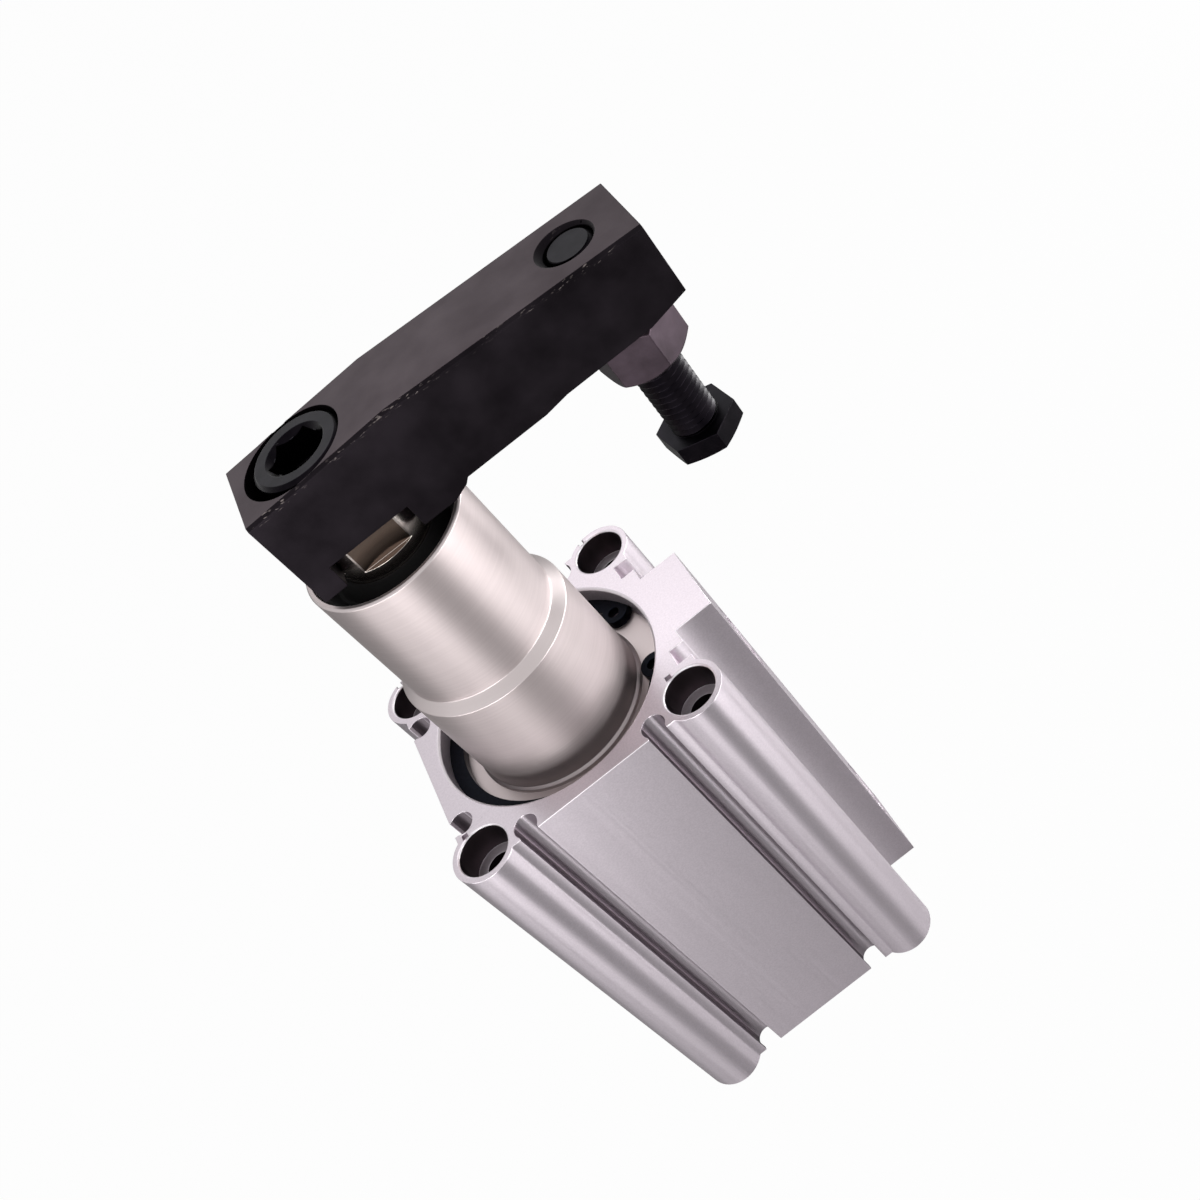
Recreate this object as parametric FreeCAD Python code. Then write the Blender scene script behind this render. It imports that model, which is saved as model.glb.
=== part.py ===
import FreeCAD, Part
import math
import os

# Compact pneumatic swing clamp cylinder of the 50 mm bore class.
# +Z is the rod axis and points at the clamp arm. The origin is the centre of the body's bottom
# mounting face, on the rod axis. +X points at the port boss, which is also where the clamp arm
# points at rest. Every length is in millimetres.

# Extruded body
BORE_R = 25.0
PITCH = 2 * BORE_R
BODY_H = 104.0
WALL = BORE_R + 4.15
TUBE_R = 7.0
BOSS_FACE = WALL + 8.85
BOSS_HALF = 9.5
SEAT_R = BORE_R + 0.5
CORNER_HOLE_R = 3.3
CORNER_SEAT_R = 5.5
CORNER_SEAT_DEPTH = 6.8
GROOVE_OFFSET = 15.4
GROOVE_DEPTH = WALL - 2.3
GROOVE_R = 2.6
GROOVE_MOUTH = 4.2
CHANNEL_FLOOR = WALL - 3.35
CHANNEL_WIDTH = 4.4
NOTCH = 1.3
NOTCH_X = -2.2
NOTCH_Y = TUBE_R - 0.9
MOUTH_CHAMFER = 0.45

# Ports on the boss
PORT_R = 5.9
PORT_DEPTH = 9.5
PORT_SPOT_R = 8.0
PORT_SPOT_DEPTH = 0.4
PASSAGE_R = 2.0

# Circlips
CLIP_T = 2.0
CLIP_INNER_R = SEAT_R - 3.1
CLIP_GROOVE_R = SEAT_R + 1.5
CLIP_GAP_DEG = 25.0
LUG_R = 3.1
LUG_EYE_R = 1.25
LUG_CENTRE_R = SEAT_R - 2.2
FRONT_CLIP_TURN = 3.0

# Swing and clearances
SWING_DEG = 90.0
END_GAP = 0.3
RUN = 0.03
SLIDE = 0.05
FREE = 0.3

# End cover
END_Z0 = 4.4
END_SEAT_Z = END_Z0 + 9.1
END_HUB_Z = END_SEAT_Z + 6.0
HUB_R = BORE_R - 2.0
END_RECESS_R = 14.0
END_RECESS_Z = END_HUB_Z - 7.1
BUMPER_R_IN = 16.5
BUMPER_R_OUT = 20.0
BUMPER_OUT = 1.5
BUMPER_SEAT = 1.5

# Front cover with its long nose
COVER_TOP_Z = BODY_H - 6.0
COVER_SEAT_Z = COVER_TOP_Z - 12.0
COVER_BOTTOM_Z = COVER_SEAT_Z - 7.9
NOSE_STEP_Z = COVER_TOP_Z + 27.9
NOSE_TOP_Z = NOSE_STEP_Z + 32.1
COLLAR_H = 0.8
ROD_R = 10.0
BUSH_R = ROD_R + 2.5
SEAL_R = BUSH_R + 1.7
MOUTH_R = SEAL_R + 1.7
NOSE_TIP_R = MOUTH_R + 1.1
NOSE_R = NOSE_TIP_R + 2.0
COLLAR_R = NOSE_R + 0.6
WIPER_Z0 = NOSE_TOP_Z - 6.5
WIPER_Z1 = NOSE_TOP_Z - 1.4
SEAL_Z0 = WIPER_Z0 - 6.0
BUSH_Z0 = SEAL_Z0 - 18.0

# Guide pin
PIN_R = 3.0
PIN_TIP_R = ROD_R - 2.6
PIN_END_R = SEAT_R - 0.2
PIN_Z = COVER_TOP_Z - 4.0
CAM_CLEAR = 0.3
CAM_FLOOR_R = PIN_TIP_R - 0.6

# O-rings of the covers
ORING_R = 1.1
ORING_GROOVE_W = 3.0
FRONT_ORING_Z = COVER_SEAT_Z + 2.4
END_ORING_Z = END_Z0 + 5.0

# Piston
PISTON_H = 16.0
PISTON_R = BORE_R - FREE
PISTON_Z0 = END_HUB_Z + BUMPER_OUT + END_GAP
PISTON_Z1 = PISTON_Z0 + PISTON_H
STROKE = COVER_BOTTOM_Z - BUMPER_OUT - END_GAP - PISTON_Z1
SEAL_BAND = (1.4, 5.0)
MAGNET_BAND = (6.3, 10.3)
WEAR_BAND = (11.6, 14.6)
BAND_FLOOR_R = BORE_R - 4.4
MAGNET_R = BORE_R - 0.8

# Rod
SPIGOT_R = 6.0
ROD_END_Z = PISTON_Z0 - 7.7
FLATS_Z = NOSE_TOP_Z + 1.2
ROD_TOP_Z = FLATS_Z + 6.2
FLATS = 17.0
NUT_AF = 18.0
NUT_H = 6.0
TAP_Z = ROD_TOP_Z - 24.4

# Clamp arm
ARM_W = 20.0
ARM_BACK_X = -13.5
ARM_TIP_X = 69.0
ARM_SEAT_Z = NOSE_TOP_Z + 2.2
ARM_BOTTOM_Z = ARM_SEAT_Z + 2.3
ARM_THICK = 20.3
ARM_CROWN_Z = ARM_BOTTOM_Z + ARM_THICK
ARM_CROWN_X = 17.0
ARM_BACK_DROP = 1.7
ARM_TIP_DROP = 2.5
ARM_SEAT_X = 15.5
ARM_HEEL_X = ARM_SEAT_X + 3.2
ARM_HEEL_RISE = 1.3
ARM_RELIEF_X = 37.0
ARM_RELIEF = 0.7
ARM_TIP_RISE_X = ARM_TIP_X - 8.5
ARM_TIP_RISE = 2.5
ARM_EDGE = 0.6
SCREW_SEAT_Z = ROD_TOP_Z + 4.6
SCREW_SEAT_R = 9.4
SCREW_SEAT_LONGER = 1.8

# Cap screw, clamp bolt and jam nut
SCREW_R = 6.0
SCREW_HEAD_R = 9.0
SCREW_HEAD_H = 12.0
SCREW_SHANK = 25.0
SOCKET_AF = 10.0
SOCKET_DEPTH = 6.0
BOLT_X = ARM_TIP_X - 11.4
BOLT_R = 5.0
BOLT_HEAD_AF = 14.5
BOLT_HEAD_H = 4.5
BOLT_L = 45.0
BOLT_HEAD_Z = ARM_CROWN_Z - BOLT_L - 2.6
BOLT_HEAD_TURN = -82.0
JAM_AF = 16.0
JAM_H = 10.5
JAM_TURN = -79.0
TIP_SINK_R = 5.9


def vec(x, y, z):
    return FreeCAD.Vector(x, y, z)


def cylinder(radius, z0, z1, x=0.0, y=0.0):
    return Part.makeCylinder(radius, z1 - z0, vec(x, y, z0))


def radial_cylinder(radius, r0, r1, z, angle):
    """A cylinder that points outwards from the axis, from r0 to r1."""
    out = vec(math.cos(math.radians(angle)), math.sin(math.radians(angle)), 0)
    return Part.makeCylinder(radius, r1 - r0, out * r0 + vec(0, 0, z), out)


def box(x0, x1, y0, y1, z0, z1):
    return Part.makeBox(x1 - x0, y1 - y0, z1 - z0, vec(x0, y0, z0))


def turned(outline):
    """A solid of revolution from (radius, z) corners."""
    corners = [vec(r, 0, z) for r, z in outline]
    face = Part.Face(Part.makePolygon(corners + corners[:1]))
    return face.revolve(vec(0, 0, 0), vec(0, 0, 1), 360)


def ring(r_in, r_out, z0, z1):
    return turned([(r_in, z0), (r_out, z0), (r_out, z1), (r_in, z1)])


def hexagon(across_flats, z0, z1, x=0.0, y=0.0, turn=0.0):
    """A hexagonal prism with one corner at the given angle."""
    corner_r = across_flats / math.sqrt(3)
    corners = []
    for k in range(7):
        a = math.radians(turn + 60 * k)
        corners.append(vec(x + corner_r * math.cos(a), y + corner_r * math.sin(a), z0))
    return Part.Face(Part.makePolygon(corners)).extrude(vec(0, 0, z1 - z0))


def hex_barrel(across_flats, z0, z1, bottom, top):
    """The turned blank that rounds a hexagon's corners. bottom and top are its end chamfers."""
    corner_r = across_flats / math.sqrt(3)
    flat_r = 0.47 * across_flats
    outline = [(0, z0), (flat_r if bottom else corner_r, z0)]
    outline += [(corner_r + 0.1, z0 + bottom), (corner_r + 0.1, z1 - top)]
    outline += [(flat_r if top else corner_r, z1), (0, z1)]
    return turned(outline)


def moved(shape, x, y, z):
    copy = shape.copy()
    copy.translate(vec(x, y, z))
    return copy


def turned_about_z(shape, angle):
    copy = shape.copy()
    copy.rotate(vec(0, 0, 0), vec(0, 0, 1), angle)
    return copy


def corners():
    half = PITCH / 2
    return [(half, half), (-half, half), (-half, -half), (half, -half)]


def extruded_section():
    """The body's outline: a square core, four corner tubes and the port boss."""
    section = box(-WALL, WALL, -WALL, WALL, 0, BODY_H)
    tubes = [cylinder(TUBE_R, 0, BODY_H, x, y) for x, y in corners()]
    boss = box(0, BOSS_FACE, -BOSS_HALF, BOSS_HALF, 0, BODY_H)
    return section.fuse(tubes + [boss]).removeSplitter()


def sensor_groove(side):
    """A round groove with a narrower mouth in the -X wall, on one side of its middle."""
    y = side * GROOVE_OFFSET
    hollow = cylinder(GROOVE_R, 0, BODY_H, -GROOVE_DEPTH, y)
    mouth = box(-WALL - 1, -GROOVE_DEPTH, y - GROOVE_MOUTH / 2, y + GROOVE_MOUTH / 2, 0, BODY_H)
    return hollow.fuse(mouth)


def port_channel(side):
    """A square channel beside the port boss."""
    y = side * GROOVE_OFFSET
    return box(CHANNEL_FLOOR, WALL + 1, y - CHANNEL_WIDTH / 2, y + CHANNEL_WIDTH / 2, 0, BODY_H)


def lengthways_grooves():
    cuts = []
    for face_turn in (0, 90, 270):
        for side in (-1, 1):
            cuts.append(turned_about_z(sensor_groove(side), face_turn))
    cuts += [port_channel(side) for side in (-1, 1)]
    return cuts


def fixing_hole(x, y):
    """One corner hole: a through hole with a screw head's seat at both ends."""
    hole = cylinder(CORNER_HOLE_R, 0, BODY_H, x, y)
    low = cylinder(CORNER_SEAT_R, 0, CORNER_SEAT_DEPTH, x, y)
    high = cylinder(CORNER_SEAT_R, BODY_H - CORNER_SEAT_DEPTH, BODY_H, x, y)
    edge = Part.makeCone(CORNER_SEAT_R, CORNER_SEAT_R + 0.3, 0.3, vec(x, y, BODY_H - 0.3))
    notch_x = x + NOTCH_X
    notch_y = y + NOTCH_Y
    half = NOTCH / 2
    notch = box(notch_x - half, notch_x + half, notch_y - half, notch_y + half, BODY_H - NOTCH, BODY_H)
    return [hole, low, high, edge, notch]


def port(z):
    """One threaded port, its spot face and the passage into the chamber."""
    thread = radial_cylinder(PORT_R, BOSS_FACE - PORT_DEPTH, BOSS_FACE, z, 0)
    spot = radial_cylinder(PORT_SPOT_R, BOSS_FACE - PORT_SPOT_DEPTH, BOSS_FACE, z, 0)
    passage = radial_cylinder(PASSAGE_R, BORE_R - 2, BOSS_FACE - PORT_DEPTH, z, 0)
    return [thread, spot, passage]


def port_heights():
    low = (END_SEAT_Z + END_HUB_Z) / 2
    high = (COVER_BOTTOM_Z + COVER_SEAT_Z) / 2
    return low, high


def make_cylinder_body():
    body = extruded_section()
    cuts = [cylinder(BORE_R, 0, BODY_H)]
    cuts.append(cylinder(SEAT_R, 0, END_SEAT_Z))
    cuts.append(cylinder(SEAT_R, COVER_SEAT_Z, BODY_H))
    cuts.append(cylinder(CLIP_GROOVE_R, END_Z0 - CLIP_T, END_Z0))
    cuts.append(cylinder(CLIP_GROOVE_R, COVER_TOP_Z, COVER_TOP_Z + CLIP_T))
    chamfer_r = SEAT_R + MOUTH_CHAMFER
    cuts.append(Part.makeCone(SEAT_R, chamfer_r, MOUTH_CHAMFER, vec(0, 0, BODY_H - MOUTH_CHAMFER)))
    cuts.append(Part.makeCone(chamfer_r, SEAT_R, MOUTH_CHAMFER))
    cuts += lengthways_grooves()
    for x, y in corners():
        cuts += fixing_hole(x, y)
    for z in port_heights():
        cuts += port(z)
    return body.cut(cuts)


def nose_profile():
    """Half of the front cover: its seat, the stepped nose and the bores for bush and seals."""
    free_r = ROD_R + FREE + 0.05
    return [
        (free_r, COVER_BOTTOM_Z),
        (HUB_R, COVER_BOTTOM_Z),
        (HUB_R, COVER_SEAT_Z),
        (SEAT_R, COVER_SEAT_Z),
        (SEAT_R, COVER_TOP_Z),
        (COLLAR_R, COVER_TOP_Z),
        (COLLAR_R, COVER_TOP_Z + COLLAR_H),
        (NOSE_R, COVER_TOP_Z + COLLAR_H + 0.6),
        (NOSE_R, NOSE_STEP_Z),
        (NOSE_TIP_R, NOSE_STEP_Z + NOSE_R - NOSE_TIP_R),
        (NOSE_TIP_R, NOSE_TOP_Z - 0.4),
        (NOSE_TIP_R - 0.4, NOSE_TOP_Z),
        (MOUTH_R, NOSE_TOP_Z),
        (MOUTH_R, WIPER_Z0),
        (SEAL_R, WIPER_Z0),
        (SEAL_R, SEAL_Z0),
        (BUSH_R, SEAL_Z0),
        (BUSH_R, BUSH_Z0),
        (free_r, BUSH_Z0),
    ]


def oring_groove(z):
    return ring(SEAT_R - 2 * ORING_R, SEAT_R + 1, z - ORING_GROOVE_W / 2, z + ORING_GROOVE_W / 2)


def make_front_cover():
    cover = turned(nose_profile())
    pin_hole = radial_cylinder(PIN_R, ROD_R, SEAT_R + 1, PIN_Z, 90)
    bumper_seat = ring(BUMPER_R_IN, BUMPER_R_OUT, COVER_BOTTOM_Z, COVER_BOTTOM_Z + BUMPER_SEAT)
    return cover.cut([pin_hole, oring_groove(FRONT_ORING_Z), bumper_seat])


def make_o_ring(z):
    return Part.makeTorus(SEAT_R - ORING_R, ORING_R, vec(0, 0, z))


def make_circlip(z0, turn):
    """A sprung ring with two eyed lugs that face inwards beside its gap."""
    clip = ring(CLIP_INNER_R, CLIP_GROOVE_R - 0.1, z0, z0 + CLIP_T)
    half = math.radians(CLIP_GAP_DEG)
    wedge = [vec(0, 0, z0), vec(40, -40 * math.tan(half), z0), vec(40, 40 * math.tan(half), z0)]
    gap = Part.Face(Part.makePolygon(wedge + wedge[:1])).extrude(vec(0, 0, CLIP_T))
    clip = clip.cut(gap)
    for side in (-1, 1):
        a = side * (half + math.radians(0.5))
        x = LUG_CENTRE_R * math.cos(a)
        y = LUG_CENTRE_R * math.sin(a)
        clip = clip.fuse(cylinder(LUG_R, z0, z0 + CLIP_T, x, y))
    for side in (-1, 1):
        a = side * (half + math.radians(0.5))
        x = (LUG_CENTRE_R - 0.3) * math.cos(a)
        y = (LUG_CENTRE_R - 0.3) * math.sin(a)
        clip = clip.cut(cylinder(LUG_EYE_R, z0, z0 + CLIP_T, x, y))
    keep = cylinder(CLIP_GROOVE_R - 0.1, z0, z0 + CLIP_T)
    return turned_about_z(clip.common(keep).removeSplitter(), turn)


def make_rod_bush():
    return ring(ROD_R + RUN, BUSH_R, BUSH_Z0, SEAL_Z0)


def make_rod_seal():
    """A U-shaped lip seal, open towards the pressure below it."""
    r_in = ROD_R + SLIDE
    r_mid = (r_in + SEAL_R) / 2
    outline = [
        (r_in, SEAL_Z0 + 0.3),
        (r_in + 0.9, SEAL_Z0 + 0.3),
        (r_mid, SEAL_Z0 + 2.4),
        (SEAL_R - 0.9, SEAL_Z0 + 0.3),
        (SEAL_R, SEAL_Z0 + 0.3),
        (SEAL_R, WIPER_Z0),
        (r_in + 0.5, WIPER_Z0),
        (r_in + 0.5, SEAL_Z0 + 3.4),
        (r_in, SEAL_Z0 + 2.0),
    ]
    return turned(outline)


def make_rod_wiper():
    """A rubber scraper with a raised lip round the rod and a hollow between lip and rim."""
    r_in = ROD_R + SLIDE
    outline = [
        (r_in + 0.6, WIPER_Z0),
        (MOUTH_R, WIPER_Z0),
        (MOUTH_R, WIPER_Z1 - 0.6),
        (MOUTH_R - 1.2, WIPER_Z1 - 0.6),
        (MOUTH_R - 2.6, WIPER_Z0 + 2.2),
        (r_in + 2.4, WIPER_Z0 + 2.2),
        (r_in + 0.5, WIPER_Z1),
        (r_in, WIPER_Z1),
        (r_in, WIPER_Z1 - 0.6),
    ]
    return turned(outline)


def make_guide_pin():
    pin = radial_cylinder(PIN_R, PIN_TIP_R, PIN_END_R, PIN_Z, 90)
    return pin


def cam_groove():
    """The helical guide groove that turns the rod as it rises.

    Seen from the rod, the fixed pin sinks by the stroke while it turns back by the swing. The
    groove's level cross-section is swept up the axis and turned by a helix, and a round pocket
    closes each end.
    """
    top = PIN_Z
    bottom = PIN_Z - STROKE
    lead = STROKE * 360 / SWING_DEG
    half_width = PIN_R + CAM_CLEAR
    slope = math.atan2(2 * math.pi * ROD_R, lead)
    level_half = half_width / math.cos(slope)
    outer = ROD_R + 1
    spine = Part.Wire(Part.makeLine(vec(0, 0, bottom), vec(0, 0, top)))
    helix = Part.makeHelix(lead, STROKE, ROD_R)
    helix.translate(vec(0, 0, bottom))
    profile = Part.makePolygon([
        vec(CAM_FLOOR_R, -level_half, bottom),
        vec(outer, -level_half, bottom),
        vec(outer, level_half, bottom),
        vec(CAM_FLOOR_R, level_half, bottom),
        vec(CAM_FLOOR_R, -level_half, bottom),
    ])
    sweep = Part.BRepOffsetAPI.MakePipeShell(spine)
    sweep.setAuxiliarySpine(helix, True, 0)
    sweep.add(profile)
    sweep.build()
    sweep.makeSolid()
    run = sweep.shape()
    low_end = radial_cylinder(half_width, CAM_FLOOR_R, outer, bottom, 0)
    high_end = radial_cylinder(half_width, CAM_FLOOR_R, outer, top, SWING_DEG)
    return [run, low_end, high_end]


def make_piston_rod():
    shoulder_z = PISTON_Z1 + END_GAP
    rod = turned([
        (0, ROD_END_Z),
        (SPIGOT_R - 0.8, ROD_END_Z),
        (SPIGOT_R, ROD_END_Z + 0.8),
        (SPIGOT_R, shoulder_z),
        (ROD_R - 0.5, shoulder_z),
        (ROD_R, shoulder_z + 0.5),
        (ROD_R, ROD_TOP_Z - 0.5),
        (ROD_R - 0.5, ROD_TOP_Z),
        (0, ROD_TOP_Z),
    ])
    rod = rod.cut(cam_groove())
    half = FLATS / 2
    out = ROD_R + 1
    flats = [box(half, out, -out, out, FLATS_Z, ROD_TOP_Z)]
    flats.append(box(-out, -half, -out, out, FLATS_Z, ROD_TOP_Z))
    flats.append(box(-out, out, half, out, FLATS_Z, ROD_TOP_Z))
    flats.append(box(-out, out, -out, -half, FLATS_Z, ROD_TOP_Z))
    tapped = cylinder(SCREW_R, TAP_Z, ROD_TOP_Z)
    drill_tip = Part.makeCone(0, SCREW_R, SCREW_R * 0.6, vec(0, 0, TAP_Z - SCREW_R * 0.6))
    return rod.cut(flats + [tapped, drill_tip])


def band(limits, r_in, r_out):
    return ring(r_in, r_out, PISTON_Z0 + limits[0], PISTON_Z0 + limits[1])


def make_piston():
    piston = ring(SPIGOT_R + SLIDE, PISTON_R, PISTON_Z0, PISTON_Z1)
    grooves = [band(limits, BAND_FLOOR_R, BORE_R) for limits in (SEAL_BAND, MAGNET_BAND, WEAR_BAND)]
    return piston.cut(grooves)


def make_piston_seal():
    """A double-lipped ring that closes both ways."""
    z0 = PISTON_Z0 + SEAL_BAND[0]
    z1 = PISTON_Z0 + SEAL_BAND[1]
    out = BORE_R - SLIDE
    middle = (z0 + z1) / 2
    return turned([
        (BAND_FLOOR_R, z0),
        (out, z0),
        (out, z0 + 0.8),
        (out - 1.0, middle),
        (out, z1 - 0.8),
        (out, z1),
        (BAND_FLOOR_R, z1),
    ])


def make_end_cover():
    cover = turned([
        (0, END_Z0),
        (SEAT_R, END_Z0),
        (SEAT_R, END_SEAT_Z),
        (HUB_R, END_SEAT_Z),
        (HUB_R, END_HUB_Z),
        (END_RECESS_R, END_HUB_Z),
        (END_RECESS_R, END_RECESS_Z),
        (0, END_RECESS_Z),
    ])
    bumper_seat = ring(BUMPER_R_IN, BUMPER_R_OUT, END_HUB_Z - BUMPER_SEAT, END_HUB_Z)
    return cover.cut([oring_groove(END_ORING_Z), bumper_seat])


def make_bumper(z0):
    z1 = z0 + BUMPER_SEAT + BUMPER_OUT
    return ring(BUMPER_R_IN, BUMPER_R_OUT, z0, z1)


def make_piston_nut():
    z1 = PISTON_Z0 - END_GAP
    z0 = z1 - NUT_H
    nut = hexagon(NUT_AF, z0, z1).common(hex_barrel(NUT_AF, z0, z1, 0.8, 0.8))
    return nut.cut(cylinder(SPIGOT_R, z0, z1))


def make_clamp_arm():
    """A milled bar: a lower seat on the rod, a relieved underside and a lightly crowned top."""
    relief_z = ARM_BOTTOM_Z + ARM_RELIEF
    outline = [
        (ARM_BACK_X, ARM_SEAT_Z),
        (ARM_SEAT_X, ARM_SEAT_Z),
        (ARM_HEEL_X, ARM_SEAT_Z + ARM_HEEL_RISE),
        (ARM_HEEL_X + 1.0, ARM_BOTTOM_Z),
        (ARM_RELIEF_X, ARM_BOTTOM_Z),
        (ARM_RELIEF_X + 5.0, relief_z),
        (ARM_TIP_RISE_X, relief_z),
        (ARM_TIP_X, ARM_BOTTOM_Z + ARM_TIP_RISE),
        (ARM_TIP_X, ARM_CROWN_Z - ARM_TIP_DROP),
        (ARM_CROWN_X, ARM_CROWN_Z),
        (ARM_BACK_X, ARM_CROWN_Z - ARM_BACK_DROP),
    ]
    points = [vec(x, -ARM_W / 2, z) for x, z in outline]
    bar = Part.Face(Part.makePolygon(points + points[:1])).extrude(vec(0, ARM_W, 0))
    bar = bar.makeChamfer(ARM_EDGE, long_top_edges(bar))
    slot = box(-FLATS / 2, FLATS / 2, -ARM_W, ARM_W, ARM_SEAT_Z - 1, ROD_TOP_Z)
    screw_seat = cylinder(SCREW_SEAT_R, SCREW_SEAT_Z, ARM_CROWN_Z + 1)
    seat_back = cylinder(SCREW_SEAT_R, SCREW_SEAT_Z, ARM_CROWN_Z + 1, -SCREW_SEAT_LONGER)
    seat_run = box(-SCREW_SEAT_LONGER, 0, -SCREW_SEAT_R, SCREW_SEAT_R, SCREW_SEAT_Z, ARM_CROWN_Z + 1)
    screw_hole = cylinder(SCREW_R + 0.5, ROD_TOP_Z - 1, SCREW_SEAT_Z)
    bolt_hole = cylinder(BOLT_R + SLIDE, ARM_BOTTOM_Z - 1, ARM_CROWN_Z, BOLT_X)
    sink_z = arm_top_z(BOLT_X)
    sink_depth = TIP_SINK_R - BOLT_R
    sink = Part.makeCone(BOLT_R, TIP_SINK_R + 1, sink_depth + 1, vec(BOLT_X, 0, sink_z - sink_depth))
    return bar.cut([slot, screw_seat, seat_back, seat_run, screw_hole, bolt_hole, sink])


def arm_top_z(x):
    share = (x - ARM_CROWN_X) / (ARM_TIP_X - ARM_CROWN_X)
    return ARM_CROWN_Z - share * ARM_TIP_DROP


def long_top_edges(bar):
    """The bar's upper side edges, which are broken by a small chamfer."""
    found = []
    for edge in bar.Edges:
        centre = edge.CenterOfMass
        along = abs(edge.tangentAt(edge.FirstParameter).x) > 0.9
        if along and centre.z > ARM_CROWN_Z - ARM_TIP_DROP - 1 and abs(abs(centre.y) - ARM_W / 2) < 0.01:
            found.append(edge)
    return found


def make_arm_cap_screw():
    top = SCREW_SEAT_Z + SCREW_HEAD_H
    screw = turned([
        (0, SCREW_SEAT_Z - SCREW_SHANK),
        (SCREW_R - 1.0, SCREW_SEAT_Z - SCREW_SHANK),
        (SCREW_R, SCREW_SEAT_Z - SCREW_SHANK + 1.0),
        (SCREW_R, SCREW_SEAT_Z),
        (SCREW_HEAD_R, SCREW_SEAT_Z),
        (SCREW_HEAD_R, top - 0.7),
        (SCREW_HEAD_R - 0.7, top),
        (0, top),
    ])
    socket = hexagon(SOCKET_AF, top - SOCKET_DEPTH, top + 1)
    rim = SOCKET_AF / math.sqrt(3)
    lead_in = Part.makeCone(rim - 0.7, rim + 0.4, 1.1, vec(0, 0, top - 1.0))
    return screw.cut([socket, lead_in])


def make_clamp_bolt():
    head_z0 = BOLT_HEAD_Z - BOLT_HEAD_H
    blank = hex_barrel(BOLT_HEAD_AF, head_z0, BOLT_HEAD_Z, 0.5, 0)
    head = hexagon(BOLT_HEAD_AF, head_z0, BOLT_HEAD_Z, 0, 0, BOLT_HEAD_TURN).common(blank)
    end_z = BOLT_HEAD_Z + BOLT_L
    shank = turned([
        (0, BOLT_HEAD_Z - 1),
        (BOLT_R, BOLT_HEAD_Z - 1),
        (BOLT_R, end_z - 0.8),
        (BOLT_R - 0.8, end_z),
        (0, end_z),
    ])
    return moved(head.fuse(shank).removeSplitter(), BOLT_X, 0, 0)


def make_jam_nut():
    z1 = ARM_BOTTOM_Z + ARM_RELIEF
    z0 = z1 - JAM_H
    nut = hexagon(JAM_AF, z0, z1, 0, 0, JAM_TURN).common(hex_barrel(JAM_AF, z0, z1, 1.5, 1.5))
    nut = nut.cut(cylinder(BOLT_R + SLIDE, z0, z1))
    return moved(nut, BOLT_X, 0, 0)


def make_parts():
    wear_out = BORE_R - SLIDE
    return {
        "cylinder_body": make_cylinder_body(),
        "front_cover": make_front_cover(),
        "front_cover_o_ring": make_o_ring(FRONT_ORING_Z),
        "front_circlip": make_circlip(COVER_TOP_Z, FRONT_CLIP_TURN),
        "rod_bush": make_rod_bush(),
        "rod_seal": make_rod_seal(),
        "rod_wiper": make_rod_wiper(),
        "guide_pin": make_guide_pin(),
        "front_bumper": make_bumper(COVER_BOTTOM_Z - BUMPER_OUT),
        "end_cover": make_end_cover(),
        "end_cover_o_ring": make_o_ring(END_ORING_Z),
        "rear_bumper": make_bumper(END_HUB_Z - BUMPER_SEAT),
        "rear_circlip": make_circlip(END_Z0 - CLIP_T, 180),
        "piston": make_piston(),
        "piston_seal": make_piston_seal(),
        "piston_magnet": band(MAGNET_BAND, BAND_FLOOR_R, MAGNET_R),
        "piston_wear_ring": band(WEAR_BAND, BAND_FLOOR_R, wear_out),
        "piston_rod": make_piston_rod(),
        "piston_nut": make_piston_nut(),
        "clamp_arm": make_clamp_arm(),
        "arm_cap_screw": make_arm_cap_screw(),
        "jam_nut": make_jam_nut(),
        "clamp_bolt": make_clamp_bolt(),
    }


os.makedirs("parts", exist_ok=True)
for node, solid in make_parts().items():
    solid.exportStep("parts/" + node + ".step")
    print(node, solid.isValid(), len(solid.Solids), round(solid.Volume / 1000, 2))
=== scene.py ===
import bpy
import math
from mathutils import Matrix, Vector


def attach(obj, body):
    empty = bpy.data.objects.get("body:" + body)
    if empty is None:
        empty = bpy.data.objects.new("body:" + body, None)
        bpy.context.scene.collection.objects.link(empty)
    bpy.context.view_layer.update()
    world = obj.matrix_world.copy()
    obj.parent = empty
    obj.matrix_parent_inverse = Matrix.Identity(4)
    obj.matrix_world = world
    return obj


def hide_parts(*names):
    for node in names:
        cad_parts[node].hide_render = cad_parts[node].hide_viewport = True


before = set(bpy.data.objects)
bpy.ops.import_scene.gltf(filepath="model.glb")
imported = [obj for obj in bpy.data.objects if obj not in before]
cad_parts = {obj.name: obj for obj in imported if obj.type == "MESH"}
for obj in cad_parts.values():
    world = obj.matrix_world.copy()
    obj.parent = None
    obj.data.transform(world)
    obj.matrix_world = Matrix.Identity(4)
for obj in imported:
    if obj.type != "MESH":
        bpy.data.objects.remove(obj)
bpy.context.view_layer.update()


# Camera: a short telephoto that looks down on the clamp from the side of the body's panel.
# Its place, roll and lens were solved from the photograph.
camera_data = bpy.data.cameras.new("photo_camera")
camera_data.sensor_width = 36.0
camera_data.lens = 48.172
camera_data.shift_x = -0.10732
camera_data.shift_y = -0.00701
camera_data.clip_start = 0.01
camera_data.clip_end = 20.0
camera = bpy.data.objects.new("photo_camera", camera_data)
bpy.context.scene.collection.objects.link(camera)
right = Vector((0.78789025, -0.40476779, -0.46410343))
up = Vector((0.61549387, 0.54196058, 0.57222899))
back = right.cross(up)
place = Vector((0.048467, -0.242962, 0.317668))
camera.matrix_world = Matrix.Translation(place) @ Matrix((right, up, back)).transposed().to_4x4()
bpy.context.scene.camera = camera
bpy.context.scene.view_settings.view_transform = "Standard"


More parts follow.
